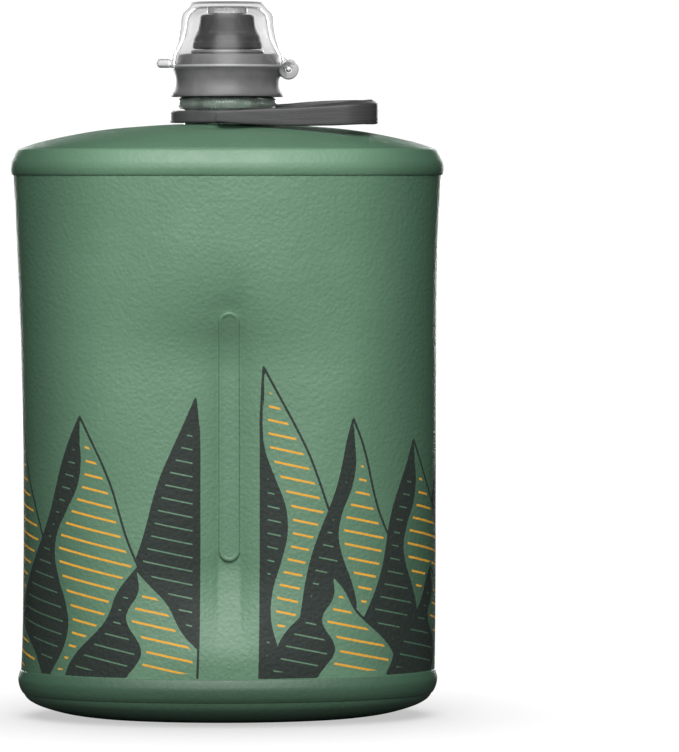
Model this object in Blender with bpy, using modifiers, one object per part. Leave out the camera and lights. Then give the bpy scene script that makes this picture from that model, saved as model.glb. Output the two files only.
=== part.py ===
"""Folding water bottle, at rest: filled out, cap on, cover closed, carry loop lying to +X.

Metres, +Z up, front is -Y. The origin is on the neck axis, on the plane that the base stands on.
"""

import math

import bmesh
import bpy
from mathutils import Matrix, Vector

MM = 0.001

# ---- vessel -------------------------------------------------------------
RIM_INSET = 65.8 - 35.0  # half-width less half-depth of the rims and of the panels' edges
SECTION_POINTS = 64
FILM = 1.0  # film thickness
FILM_HALF_WIDTHS = (
    (13.9, 62.75),
    (20.0, 62.5),
    (26.0, 62.4),
    (60.0, 62.0),
    (91.0, 62.0),
    (118.0, 62.6),
    (140.0, 63.8),
    (156.0, 64.7),
    (164.6, 65.0),
)
FILM_HALF_DEPTHS = ((13.9, 31.95), (40.0, 32.7), (91.0, 33.2), (140.0, 33.6), (164.6, 34.2))
FILM_LEVELS = (
    13.9, 20.0, 28.0, 37.0, 45.0, 52.0, 70.0, 88.0, 104.0, 109.0, 114.0, 119.0, 124.0,
    129.0, 135.0, 142.0, 149.0, 156.0, 164.6,
)
PINCH_HALF_DEPTH = 24.0  # where the two bars hold the film, from the middle plane
PINCH_SPREAD = 21.0
PINCH_DOWN = 31.0
PINCH_EASES, PINCH_TURNS, PINCH_ENDS = 105.0, 118.0, 148.0  # heights where the pinch starts to fade, fades fastest, and is gone
PINCH_AT_TURN = 0.70
BAR_Z = (49.0, 124.0)
BAR_WIDTH = 6.5
BAR_DEPTH = 1.8
BAR_GAP = 0.35
WEB_THICKNESS = 1.0

RIDGE_Z, RIDGE_HALF_WIDTH = 8.5, 61.9
PAD_SHARE = 0.70  # the flat resting pad, as a share of the ridge's oval

# ---- neck, on the Z axis ---------------------------------------------------
SHOULDER_TOP = 179.9
HOLE_RADIUS = 13.6
NECK_BORE = 10.8
THREAD_PITCH = 4.2
THREAD_TURNS = 1.5
THREAD_START_Z = 190.2
NECK_THREAD_ROOT, NECK_THREAD_CREST = 12.6, 13.8
CAP_BORE, CAP_THREAD_CREST = 14.2, 13.05

# ---- carry loop -------------------------------------------------------------
RING_INNER, RING_OUTER = 13.6, 17.5
RING_Z = (180.4, 184.1)
STRAP_INNER_Y, STRAP_OUTER_Y = 17.8, 20.4
STRAP_START_X, STRAP_BAR_X, STRAP_END_X = -4.2, 42.9, 45.5
STRAP_PIVOT_Z = 182.2

# ---- cover hinge --------------------------------------------------------------
HINGE_X, HINGE_Z = 18.6, 196.6
PIN_RADIUS, PIN_BORE = 0.8, 1.1

STEPS = 36


# ---- helpers -------------------------------------------------------------------
for old in list(bpy.data.objects):
    bpy.data.objects.remove(old, do_unlink=True)
for old in list(bpy.data.collections):
    bpy.data.collections.remove(old)

parts = bpy.data.collections.new("folding_water_bottle")
cutters = bpy.data.collections.new("cutters")
for made in (parts, cutters):
    bpy.context.scene.collection.children.link(made)
cutters.hide_render = True


def material(name, color, roughness, alpha=1.0, metallic=0.0, transmission=0.0):
    found = bpy.data.materials.get(name)
    if found:
        return found
    mat = bpy.data.materials.new(name)
    mat.use_nodes = True
    shader = mat.node_tree.nodes["Principled BSDF"]
    shader.inputs["Base Color"].default_value = (*color, 1.0)
    shader.inputs["Roughness"].default_value = roughness
    shader.inputs["Metallic"].default_value = metallic
    shader.inputs["Alpha"].default_value = alpha
    shader.inputs["Transmission Weight"].default_value = transmission
    mat.diffuse_color = (*color, alpha)
    return mat


def new_object(name, mesh, collection=parts):
    obj = bpy.data.objects.new(name, mesh)
    collection.objects.link(obj)
    if collection is cutters:
        obj.hide_render = True
        obj.display_type = "WIRE"
    return obj


def finish(obj, color, roughness, smooth=True, **more):
    obj.data.materials.clear()
    obj.data.materials.append(material("mat_" + obj.name, color, roughness, **more))
    if obj.type == "MESH":
        obj.data.polygons.foreach_set("use_smooth", [smooth] * len(obj.data.polygons))
    return obj


def lathe(name, profile, collection=parts, steps=STEPS, closed=False):
    """Revolves (radius, z) points about Z. An open profile starts and ends on the axis."""
    count = len(profile)
    edges = [(i, i + 1) for i in range(count - 1)] + ([(count - 1, 0)] if closed else [])
    mesh = bpy.data.meshes.new(name)
    mesh.from_pydata([(r * MM, 0.0, z * MM) for r, z in profile], edges, [])
    obj = new_object(name, mesh, collection)
    screw = obj.modifiers.new("revolve", "SCREW")
    screw.axis = "Z"
    screw.angle = math.tau
    screw.steps = screw.render_steps = steps
    screw.use_merge_vertices = True
    screw.merge_threshold = 0.00001
    screw.use_smooth_shade = True
    return obj


def cylinder(name, radius, length, center, axis="Y", collection=cutters, segments=32):
    mesh = bpy.data.meshes.new(name)
    bm = bmesh.new()
    bmesh.ops.create_cone(
        bm, cap_ends=True, segments=segments,
        radius1=radius * MM, radius2=radius * MM, depth=length * MM,
    )
    turn = Matrix.Rotation(math.pi / 2, 4, "X") if axis == "Y" else Matrix.Identity(4)
    bm.transform(Matrix.Translation(Vector(center) * MM) @ turn)
    bm.to_mesh(mesh)
    bm.free()
    return new_object(name, mesh, collection)


def block(name, low, high, collection=cutters, bevel=0.0, segments=3):
    mesh = bpy.data.meshes.new(name)
    bm = bmesh.new()
    bmesh.ops.create_cube(bm, size=1.0)
    low, high = Vector(low) * MM, Vector(high) * MM
    size = high - low
    bm.transform(Matrix.Translation((low + high) / 2) @ Matrix.Diagonal((*size, 1.0)))
    bm.to_mesh(mesh)
    bm.free()
    obj = new_object(name, mesh, collection)
    if bevel:
        mod = obj.modifiers.new("edges", "BEVEL")
        mod.width = bevel * MM
        mod.segments = segments
    return obj


def combine(obj, other, operation):
    mod = obj.modifiers.new(f"{operation.lower()}_{other.name}", "BOOLEAN")
    mod.operation = operation
    mod.solver = "EXACT"
    mod.object = other
    return mod


def as_mesh(obj):
    """The object with its modifiers, or its curve, turned into one welded mesh."""
    bpy.context.view_layer.update()
    graph = bpy.context.evaluated_depsgraph_get()
    mesh = bpy.data.meshes.new_from_object(obj.evaluated_get(graph))
    bm = bmesh.new()
    bm.from_mesh(mesh)
    bmesh.ops.remove_doubles(bm, verts=bm.verts, dist=0.000002)
    bmesh.ops.recalc_face_normals(bm, faces=bm.faces)
    bm.to_mesh(mesh)
    bm.free()
    name, collection = obj.name, obj.users_collection[0]
    bpy.data.objects.remove(obj, do_unlink=True)
    made = new_object(name, mesh, collection)
    mesh.name = name
    return made


def on_axis(obj, point, name):
    """Parents the object to an empty that stands on its joint axis."""
    empty = bpy.data.objects.get(name)
    if empty is None:
        empty = bpy.data.objects.new(name, None)
        empty.empty_display_size = 0.01
        empty.location = Vector(point) * MM
        parts.objects.link(empty)
        bpy.context.view_layer.update()
    obj.parent = empty
    obj.matrix_parent_inverse = empty.matrix_world.inverted()


def between(table, x):
    for (x0, y0), (x1, y1) in zip(table, table[1:]):
        if x <= x1:
            return y0 + (y1 - y0) * max(0.0, (x - x0) / (x1 - x0))
    return table[-1][1]


def ease(t):
    t = min(max(t, 0.0), 1.0)
    return t * t * (3.0 - 2.0 * t)


def section_angles():
    """Angles round an oval from the front, closer together at the front and the back."""
    quarter = SECTION_POINTS // 4
    first = [(i / quarter) ** 1.2 * math.pi / 2 for i in range(quarter)]
    half = first + [math.pi - a for a in reversed(first + [math.pi / 2]) if a > 0]
    return half + [a + math.pi for a in half]


ANGLES = section_angles()


def oval(half_width, half_depth, z, pinch=0.0):
    """A closed section. pinch is how far the film is drawn in at the middle of the front and the back."""
    points = []
    for angle in ANGLES:
        x = half_width * math.sin(angle)
        y = -half_depth * math.cos(angle)
        if pinch:
            away = max(abs(x) - BAR_WIDTH / 2, 0.0) / PINCH_SPREAD
            drawn = pinch * math.exp(-(away ** 1.35))
            edge = min(1.0, abs(y) / (0.45 * half_depth))
            y -= math.copysign(drawn * ease(edge), y)
        points.append((x, y, z))
    return points


def loft(name, rings, closed=False, cap_first=False):
    """Skins sections that run from bottom to top, with the faces looking outwards."""
    count = len(rings[0])
    points = [tuple(c * MM for c in p) for ring in rings for p in ring]
    faces = []
    for k in range(len(rings) if closed else len(rings) - 1):
        low, high = k * count, (k + 1) % len(rings) * count
        for i in range(count):
            j = (i + 1) % count
            faces.append((low + i, low + j, high + j, high + i))
    if cap_first:
        faces.append(tuple(reversed(range(count))))
    mesh = bpy.data.meshes.new(name)
    mesh.from_pydata(points, [], faces)
    return new_object(name, mesh)


def thicken(obj):
    mod = obj.modifiers.new("film", "SOLIDIFY")
    mod.thickness = FILM * MM
    mod.offset = -1.0
    mod.use_even_offset = True
    mod.use_rim = True
    return obj


def pinch_at(z, half_depth):
    full = half_depth - PINCH_HALF_DEPTH
    low = BAR_Z[0] - 2.0
    if z < low:
        return full * ease(1.0 - (low - z) / PINCH_DOWN)
    if z <= PINCH_EASES:
        return full
    if z <= PINCH_TURNS:
        t = (z - PINCH_EASES) / (PINCH_TURNS - PINCH_EASES)
        return full * (1.0 - (1.0 - PINCH_AT_TURN) * t * t)
    t = max(PINCH_ENDS - z, 0.0) / (PINCH_ENDS - PINCH_TURNS)
    return full * PINCH_AT_TURN * t * t


def film_face(z):
    """How far the film's outer face stands from the middle plane, along the middle of a bar."""
    def at(level):
        b = between(FILM_HALF_DEPTHS, level)
        return b - pinch_at(level, b)

    return between([(level, at(level)) for level in FILM_LEVELS], z)


def helix_ridge(name, root, crest, start, stop, z_at_zero, root_width, crest_width):
    """A thread's ridge: a four-sided section swept up a helix, thinner at its two ends."""
    steps = round((stop - start) / 10.0)
    rings = []
    for k in range(steps + 1):
        turn = start + (stop - start) * k / steps
        fade = min(1.0, 0.15 + 0.85 * min(k, steps - k) / 3.0)
        z = z_at_zero + THREAD_PITCH * turn / 360.0
        tip = root + (crest - root) * fade
        angle = math.radians(turn)
        rings.append([
            (r * math.cos(angle), r * math.sin(angle), z + dz)
            for r, dz in (
                (root, -root_width / 2), (tip, -crest_width / 2),
                (tip, crest_width / 2), (root, root_width / 2),
            )
        ])
    points = [tuple(c * MM for c in p) for ring in rings for p in ring]
    faces = [(0, 1, 2, 3), tuple(4 * steps + i for i in (3, 2, 1, 0))]
    for k in range(steps):
        for i in range(4):
            j = (i + 1) % 4
            faces.append((4 * k + i, 4 * k + 4 + i, 4 * k + 4 + j, 4 * k + j))
    mesh = bpy.data.meshes.new(name)
    mesh.from_pydata(points, [], faces)
    bm = bmesh.new()
    bm.from_mesh(mesh)
    bmesh.ops.recalc_face_normals(bm, faces=bm.faces)
    bm.to_mesh(mesh)
    bm.free()
    return new_object(name, mesh, cutters)


# ---- soft vessel ------------------------------------------------------------------
SAGE = (0.11, 0.20, 0.13)
DEEP = (0.05, 0.11, 0.07)
GREY = (0.20, 0.20, 0.20)
DARK = (0.09, 0.09, 0.09)

rings = []
for z in FILM_LEVELS:
    a = between(FILM_HALF_WIDTHS, z)
    b = between(FILM_HALF_DEPTHS, z)
    rings.append(oval(a, b, z, pinch_at(z, b)))
finish(thicken(loft("body_film", rings)), SAGE, 0.5)


def band(name, profile, color):
    """A welded rim: (half-width, z) points, listed anticlockwise as seen with +X to the right and +Z up."""
    rings = [oval(a, a - RIM_INSET, z) for a, z in profile]
    obj = loft(name, rings, closed=True)
    return finish(obj, color, 0.55)


band(
    "base_rim",
    ((61.0, 9.1), (62.1, 9.1), (63.2, 9.9), (63.7, 11.0), (63.45, 12.3), (62.9, 13.5), (61.0, 13.5)),
    DEEP,
)
band(
    "shoulder_rim",
    ((63.6, 165.0), (65.25, 165.0), (65.8, 166.3), (65.35, 167.7), (63.95, 170.2), (62.9, 171.85), (62.1, 171.0), (63.2, 169.3)),
    DEEP,
)

base_profile = (
    (PAD_SHARE, 0.0), (0.80, 0.8), (0.88, 2.2), (0.945, 4.2), (0.978, 6.2), (0.994, 7.6), (1.0, RIDGE_Z),
)
rings = [
    oval(s * RIDGE_HALF_WIDTH, s * (RIDGE_HALF_WIDTH - RIM_INSET), z) for s, z in base_profile
]
finish(thicken(loft("base_panel", rings, cap_first=True)), SAGE, 0.5)

# The shoulder runs from the rim's oval to the round hole for the neck.
shoulder_widths = (
    (62.3, 172.45), (60.6, 173.3), (56.5, 174.6), (50.0, 175.95), (43.0, 177.1),
    (33.5, 178.5), (24.0, 179.4), (17.5, 179.85), (HOLE_RADIUS, SHOULDER_TOP),
)
rings = []
for a, z in shoulder_widths:
    t = (62.3 - a) / (62.3 - HOLE_RADIUS)
    b = (62.3 - RIM_INSET) * (1 - t) + HOLE_RADIUS * t
    rings.append(oval(a, b, z))
finish(thicken(loft("shoulder_panel", rings)), SAGE, 0.5)


# ---- baffle: a web between two fused bars --------------------------------------------
def weld_bar(name, side):
    """A bar with round ends that lies along the film, side -1 at the front and 1 at the back."""
    edge = 0.45
    r = BAR_WIDTH / 2
    low, high = BAR_Z[0] + r, BAR_Z[1] - r
    turns = [math.radians(a) for a in (80, 62, 45, 30, 15)]
    drops = (0.34, 0.12, 0.03, 0.0, 0.0)
    sections = [(low - r * math.sin(a), r * math.cos(a), d) for a, d in zip(turns, drops)]
    sections += [(low, r, 0.0)]
    sections += [(z, r, 0.0) for z in FILM_LEVELS if low + 0.5 < z < high - 0.5]
    sections += [(high, r, 0.0)]
    sections += [
        (high + r * math.sin(a), r * math.cos(a), d) for a, d in zip(reversed(turns), reversed(drops))
    ]
    points = []
    for z, w, drop in sections:
        back = film_face(z) + BAR_GAP
        front = back + BAR_DEPTH - drop
        e = min(edge, 0.6 * w)
        for x, depth in (
            (-w, back), (-w, front - edge), (-w + e, front), (w - e, front), (w, front - edge), (w, back),
        ):
            points.append((x * MM, side * depth * MM, z * MM))
    count = len(sections)
    faces = [tuple(range(6)), tuple(6 * (count - 1) + i for i in range(6))]
    for k in range(count - 1):
        for i in range(6):
            j = (i + 1) % 6
            faces.append((6 * k + i, 6 * k + j, 6 * k + 6 + j, 6 * k + 6 + i))
    mesh = bpy.data.meshes.new(name)
    mesh.from_pydata(points, [], faces)
    bm = bmesh.new()
    bm.from_mesh(mesh)
    bmesh.ops.recalc_face_normals(bm, faces=bm.faces)
    bm.to_mesh(mesh)
    bm.free()
    return finish(new_object(name, mesh), SAGE, 0.45)


weld_bar("front_weld_bar", -1)
weld_bar("back_weld_bar", 1)
web_reach = PINCH_HALF_DEPTH - FILM - 0.5
web = block(
    "baffle_web",
    (-WEB_THICKNESS / 2, -web_reach, BAR_Z[0] + 3.0),
    (WEB_THICKNESS / 2, web_reach, BAR_Z[1] - 3.0),
    parts,
)
finish(web, SAGE, 0.5, smooth=False)

# ---- neck fitment: flange, tube, bead and thread in one moulding ------------------------
neck = lathe(
    "neck_fitment",
    (
        (12.3, 197.2), (12.6, 196.9), (12.6, 188.2), (14.6, 188.0), (15.0, 187.5), (15.0, 185.1),
        (14.6, 184.6), (13.2, 184.6), (13.2, 178.4), (17.0, 178.4), (17.0, 176.9),
        (11.4, 176.9), (NECK_BORE, 177.5), (NECK_BORE, 197.2),
    ),
    closed=True,
)
neck_thread = helix_ridge(
    "neck_thread", NECK_THREAD_ROOT - 0.3, NECK_THREAD_CREST,
    0.0, 360.0 * THREAD_TURNS, THREAD_START_Z, 1.7, 0.9,
)
combine(neck, neck_thread, "UNION")
finish(neck, (0.55, 0.62, 0.57), 0.2, alpha=0.6)

# ---- carry loop -------------------------------------------------------------------------
ring = lathe(
    "bail_ring",
    (
        (RING_OUTER - 0.6, RING_Z[1]), (RING_OUTER, RING_Z[1] - 0.6), (RING_OUTER, RING_Z[0] + 0.6),
        (RING_OUTER - 0.6, RING_Z[0]), (RING_INNER + 0.3, RING_Z[0]), (RING_INNER, RING_Z[0] + 0.3),
        (RING_INNER, RING_Z[1] - 0.3), (RING_INNER + 0.3, RING_Z[1]),
    ),
    closed=True,
)
for side, label in ((-1, "front"), (1, "back")):
    stud = cylinder(
        f"ring_stud_{label}", 1.2, 2.6, (0, side * (RING_OUTER - 0.4 + 0.9), STRAP_PIVOT_Z), segments=24
    )
    combine(ring, stud, "UNION")
finish(ring, DARK, 0.45)


def strap_outline():
    """The loop seen from above, as two sides of one closed band."""
    def side(y, x_end, corner):
        run = [(STRAP_START_X + (x_end - corner - STRAP_START_X) * k / 12, -y) for k in range(13)]
        cx, cy = x_end - corner, -(y - corner)
        for k in range(1, 9):
            angle = -math.pi / 2 + math.pi / 2 * k / 8
            run.append((cx + corner * math.cos(angle), cy + corner * math.sin(angle)))
        return run

    outer = side(STRAP_OUTER_Y, STRAP_END_X, 11.0)
    outer += [(x, -y) for x, y in reversed(outer)]
    inner = side(STRAP_INNER_Y, STRAP_BAR_X, 8.6)
    inner += [(x, -y) for x, y in reversed(inner)]
    return outer, inner


STRAP_LOW = ((-4.2, 180.6), (5.0, 179.9), (19.0, 179.3), (32.0, 179.5), (45.5, 180.1))
STRAP_HIGH = ((-4.2, 183.9), (5.0, 184.4), (19.0, 185.3), (32.0, 186.4), (45.5, 187.6))


def strap():
    """The band as a loft of four-cornered sections along its run, so that it can grow taller towards the end."""
    outer, inner = strap_outline()
    round_off = 0.5
    sections = []
    for (xo, yo), (xi, yi) in zip(outer, inner):
        x = (xo + xi) / 2
        low, high = between(STRAP_LOW, x), between(STRAP_HIGH, x)
        to_inner = Vector((xi - xo, yi - yo)).normalized() * round_off
        sections.append([
            (xo, yo, low + round_off), (xo, yo, high - round_off),
            (xo + to_inner.x, yo + to_inner.y, high), (xi - to_inner.x, yi - to_inner.y, high),
            (xi, yi, high - round_off), (xi, yi, low + round_off),
            (xi - to_inner.x, yi - to_inner.y, low), (xo + to_inner.x, yo + to_inner.y, low),
        ])
    points = [tuple(c * MM for c in p) for section in sections for p in section]
    faces = [tuple(range(8)), tuple(8 * (len(sections) - 1) + i for i in reversed(range(8)))]
    for k in range(len(sections) - 1):
        for i in range(8):
            j = (i + 1) % 8
            faces.append((8 * k + i, 8 * k + 8 + i, 8 * k + 8 + j, 8 * k + j))
    mesh = bpy.data.meshes.new("bail_strap")
    mesh.from_pydata(points, [], faces)
    bm = bmesh.new()
    bm.from_mesh(mesh)
    bmesh.ops.recalc_face_normals(bm, faces=bm.faces)
    bm.to_mesh(mesh)
    bm.free()
    return new_object("bail_strap", mesh)


loop = strap()
for side, label in ((-1, "front"), (1, "back")):
    socket = cylinder(
        f"strap_socket_{label}", 1.55, 3.0, (0, side * (STRAP_INNER_Y + 0.2), STRAP_PIVOT_Z), segments=24
    )
    combine(loop, socket, "DIFFERENCE")
finish(loop, DARK, 0.5)
on_axis(loop, (0, 0, STRAP_PIVOT_Z), "bail_lift_axis")

# ---- screw cap ------------------------------------------------------------------------------
cap = lathe(
    "screw_cap",
    (
        (13.9, 201.2), (14.9, 200.8), (16.0, 197.0), (16.4, 196.6), (16.1, 195.6), (15.7, 193.3),
        (15.9, 191.5), (16.9, 189.4), (16.9, 188.6), (16.6, 188.3), (CAP_BORE + 0.3, 188.3),
        (CAP_BORE, 188.8), (CAP_BORE, 198.9), (6.0, 198.9), (5.6, 199.3), (5.6, 201.2),
    ),
    closed=True,
)
cap_thread = helix_ridge(
    "cap_thread", CAP_BORE + 0.3, CAP_THREAD_CREST,
    150.0, 150.0 + 360.0 * THREAD_TURNS, THREAD_START_Z - THREAD_PITCH / 2, 1.7, 0.9,
)
combine(cap, cap_thread, "UNION")
for side, label in ((-1, "front"), (1, "back")):
    combine(cap, cylinder(f"ear_room_{label}", 3.4, 2.7, (HINGE_X, side * 3.65, HINGE_Z)), "DIFFERENCE")
knuckle = block("cap_knuckle_arm", (15.1, -2.05, 194.45), (HINGE_X + 0.1, 2.05, 197.15))
combine(cap, knuckle, "UNION")
combine(cap, cylinder("cap_knuckle", 2.4, 4.4, (HINGE_X, 0, HINGE_Z)), "UNION")
combine(cap, cylinder("cap_pin_bore", PIN_BORE, 8.0, (HINGE_X, 0, HINGE_Z), segments=24), "DIFFERENCE")
finish(cap, GREY, 0.4)

gasket = lathe(
    "cap_gasket",
    ((13.9, 198.6), (13.9, 197.6), (11.0, 197.6), (11.0, 198.6)),
    closed=True,
)
finish(gasket, (0.6, 0.6, 0.58), 0.6)

pin = cylinder("hinge_pin", PIN_RADIUS, 9.4, (HINGE_X, 0, HINGE_Z), collection=parts, segments=24)
finish(pin, (0.6, 0.6, 0.62), 0.25, metallic=0.9)

# ---- nozzle ----------------------------------------------------------------------------------
stem = lathe(
    "spout_base",
    (
        (4.8, 209.2), (5.1, 208.9), (5.1, 206.9), (4.5, 206.6), (4.5, 205.2), (5.1, 204.9),
        (5.1, 202.5), (10.7, 202.5), (11.1, 202.1), (11.1, 201.5), (5.3, 201.5), (5.2, 198.7),
        (6.6, 198.6), (6.6, 197.6), (3.2, 197.6), (3.2, 209.2),
    ),
    closed=True,
)
finish(stem, GREY, 0.4)

major, minor, seal_z = 5.45, 0.5, 205.9
circle = [
    (major + minor * math.cos(k * math.tau / 10), seal_z + minor * math.sin(k * math.tau / 10))
    for k in range(10)
]
seal = lathe("nozzle_seal", tuple(reversed(circle)), closed=True, steps=32)
finish(seal, (0.03, 0.03, 0.03), 0.6)

nozzle = lathe(
    "nozzle",
    (
        (7.6, 213.2), (8.15, 212.7), (8.5, 210.5), (8.75, 208.9), (9.9, 206.6), (10.15, 205.6),
        (10.2, 205.0), (10.5, 204.6), (10.5, 203.2), (10.2, 202.8), (6.6, 202.8), (6.3, 203.1),
        (6.3, 209.6), (6.9, 209.8), (6.9, 211.4), (6.3, 211.6), (2.6, 211.6), (2.3, 211.9),
        (2.3, 212.9), (2.6, 213.2),
    ),
    closed=True,
)
for side, label in ((-1, "front"), (1, "back")):
    low, high = sorted((side * 7.3, side * 14.0))
    combine(nozzle, block(f"grip_flat_{label}", (-12, low, 207.2), (12, high, 215)), "DIFFERENCE")
finish(nozzle, DARK, 0.4)

valve = lathe(
    "valve_disc",
    (
        (0.0, 210.7), (2.0, 210.75), (4.2, 211.2), (6.2, 211.2), (6.5, 210.9), (6.5, 210.3),
        (6.2, 210.0), (4.2, 210.0), (2.0, 209.6), (0.0, 209.55),
    ),
)
finish(valve, (0.5, 0.5, 0.5), 0.55)

# ---- dust cover ---------------------------------------------------------------------------------
cover = lathe(
    "dust_cover",
    (
        (0.0, 217.0), (10.6, 217.0), (11.4, 216.7), (14.0, 213.8), (14.3, 213.0), (14.55, 209.5),
        (15.2, 205.8), (16.2, 203.0), (17.0, 201.0), (17.3, 198.6), (17.3, 197.4), (17.05, 197.1),
        (16.65, 197.1), (16.45, 197.4), (16.4, 199.0), (16.0, 201.2), (15.0, 203.2), (14.0, 206.0),
        (13.35, 209.5), (13.1, 212.8), (12.7, 213.5), (10.8, 215.6), (0.0, 215.8),
    ),
)
cover = as_mesh(cover)
combine(cover, block("thumb_tab", (-21.4, -5.5, 197.1), (-16.8, 5.5, 199.6), bevel=1.1), "UNION")
for side, label in ((-1, "front"), (1, "back")):
    y = side * 3.6
    combine(
        cover, block(f"ear_arm_{label}", (16.75, y - 0.85, 197.75), (20.1, y + 0.85, 199.05)), "UNION"
    )
    combine(cover, cylinder(f"cover_ear_{label}", 3.0, 2.0, (HINGE_X, y, HINGE_Z)), "UNION")
combine(cover, cylinder("knuckle_room", 2.8, 5.1, (HINGE_X, 0, HINGE_Z)), "DIFFERENCE")
combine(cover, cylinder("cover_pin_bore", PIN_BORE, 12.0, (HINGE_X, 0, HINGE_Z), segments=24), "DIFFERENCE")
finish(cover, (0.85, 0.87, 0.86), 0.08, alpha=0.35, transmission=0.9)
on_axis(cover, (HINGE_X, 0, HINGE_Z), "cover_hinge_axis")

plug = lathe(
    "cover_plug",
    ((0.0, 215.5), (5.7, 215.5), (6.0, 215.2), (6.0, 213.9), (5.6, 213.5), (0.0, 213.5)),
)
finish(plug, (0.75, 0.76, 0.75), 0.3, alpha=0.7)
on_axis(plug, (HINGE_X, 0, HINGE_Z), "cover_hinge_axis")
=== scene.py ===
"""Looks of the folding water bottle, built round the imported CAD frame. Lengths in the code are millimetres until mesh time."""

import math

import bmesh
import bpy
import numpy as np
from mathutils import Matrix, Vector


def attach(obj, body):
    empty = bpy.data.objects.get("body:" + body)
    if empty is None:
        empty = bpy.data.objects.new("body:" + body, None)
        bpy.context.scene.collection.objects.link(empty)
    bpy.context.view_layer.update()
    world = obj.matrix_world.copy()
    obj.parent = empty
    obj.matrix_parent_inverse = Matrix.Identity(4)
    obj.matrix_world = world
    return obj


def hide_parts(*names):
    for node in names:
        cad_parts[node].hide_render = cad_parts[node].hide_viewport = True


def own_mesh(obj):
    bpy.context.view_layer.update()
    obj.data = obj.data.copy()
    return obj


MM = 0.001
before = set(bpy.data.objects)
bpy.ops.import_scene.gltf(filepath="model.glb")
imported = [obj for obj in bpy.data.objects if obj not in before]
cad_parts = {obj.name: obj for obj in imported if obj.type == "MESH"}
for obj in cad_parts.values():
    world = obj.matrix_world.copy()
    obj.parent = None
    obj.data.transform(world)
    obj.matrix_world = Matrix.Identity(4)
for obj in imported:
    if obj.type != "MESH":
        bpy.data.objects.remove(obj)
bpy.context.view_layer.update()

# ---------------------------------------------------------------- dimensions
RIM_INSET = 30.8
FILM_HALF_WIDTHS = (
    (12.9, 63.0), (13.9, 63.05), (20.0, 62.95), (30.0, 62.85), (60.0, 62.75), (81.0, 62.76), (99.0, 62.9),
    (117.0, 63.15), (126.5, 63.4), (135.6, 63.65), (144.7, 63.95), (154.0, 64.4), (164.6, 65.0), (165.6, 65.05),
)
FILM_LEAN = (
    (12.9, 0.0), (20.0, 0.25), (30.0, 0.45), (50.0, 0.62), (81.0, 0.66), (99.0, 0.52), (117.0, 0.33),
    (126.0, 0.15), (144.0, 0.0), (165.6, 0.0),
)
FILM_HALF_DEPTHS = ((12.9, 31.9), (13.9, 31.95), (40.0, 32.7), (91.0, 33.2), (140.0, 33.6), (164.6, 34.2), (165.6, 34.2))
BAR_Z = (49.0, 124.0)
BAR_WIDTH = 6.5
BAR_X = 0.45
FILM_AT_BAR = 25.45
HINGE = (18.6, 0.0, 196.6)
STRAP_PIVOT_Z = 182.2


# ---------------------------------------------------------------- mesh helpers
def new_mesh_object(name, points, faces, smooth=True):
    mesh = bpy.data.meshes.new(name)
    mesh.from_pydata([tuple(p) for p in np.asarray(points, float) * MM], [], faces)
    if smooth:
        mesh.polygons.foreach_set("use_smooth", [True] * len(mesh.polygons))
    obj = bpy.data.objects.new(name, mesh)
    bpy.context.scene.collection.objects.link(obj)
    return obj


def tidy(obj, angle=38.0, merge=0.000001):
    """Merges poles, turns the faces outwards and keeps the hard edges hard."""
    bm = bmesh.new()
    bm.from_mesh(obj.data)
    bmesh.ops.remove_doubles(bm, verts=bm.verts, dist=merge)
    bmesh.ops.dissolve_degenerate(bm, edges=bm.edges, dist=1e-7)
    bmesh.ops.holes_fill(bm, edges=[e for e in bm.edges if e.is_boundary], sides=12)
    bmesh.ops.recalc_face_normals(bm, faces=bm.faces)
    limit = math.radians(angle)
    for edge in bm.edges:
        edge.smooth = not (len(edge.link_faces) == 2 and edge.calc_face_angle(0.0) > limit)
    for face in bm.faces:
        face.smooth = True
    bm.to_mesh(obj.data)
    bm.free()
    return obj


def rounded(profile, radius, steps=4):
    """The profile with its corners rounded. radius is one number, or one per point (0 keeps a corner)."""
    pts = [np.array(p, float) for p in profile]
    n = len(pts)
    radii = [radius] * n if np.isscalar(radius) else list(radius)
    out = []
    for i, p in enumerate(pts):
        a, b = pts[i - 1], pts[(i + 1) % n]
        la, lb = np.linalg.norm(a - p), np.linalg.norm(b - p)
        d = min(radii[i], 0.45 * la, 0.45 * lb)
        if d <= 1e-4 or p[0] < 1e-6:
            out.append(p)
            continue
        s, e = p + (a - p) / la * d, p + (b - p) / lb * d
        for k in range(steps + 1):
            t = k / steps
            out.append((1 - t) ** 2 * s + 2 * t * (1 - t) * p + t * t * e)
    return out


def revolve(name, profile, segments=128, closed=True, angle=38.0):
    pts = [(float(r), float(z)) for r, z in profile]
    n = len(pts)
    ang = np.arange(segments) * math.tau / segments
    points = np.array([(r * math.cos(a), r * math.sin(a), z) for r, z in pts for a in ang])
    faces = []
    for i in range(n if closed else n - 1):
        j = (i + 1) % n
        for k in range(segments):
            m = (k + 1) % segments
            faces.append((i * segments + k, i * segments + m, j * segments + m, j * segments + k))
    return tidy(new_mesh_object(name, points, faces), angle)


def solid_box(low, high, bevel=0.0, segments=3):
    low, high = np.array(low, float), np.array(high, float)
    bm = bmesh.new()
    bmesh.ops.create_cube(bm, size=1.0)
    c, s = (low + high) / 2 * MM, (high - low) * MM
    bm.transform(Matrix.Translation(Vector(c)) @ Matrix.Diagonal((*s, 1.0)))
    if bevel:
        bmesh.ops.bevel(
            bm, geom=bm.edges[:], offset=bevel * MM, segments=segments, affect="EDGES", profile=0.5
        )
    mesh = bpy.data.meshes.new("tool")
    bm.to_mesh(mesh)
    bm.free()
    obj = bpy.data.objects.new("tool", mesh)
    bpy.context.scene.collection.objects.link(obj)
    return obj


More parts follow.
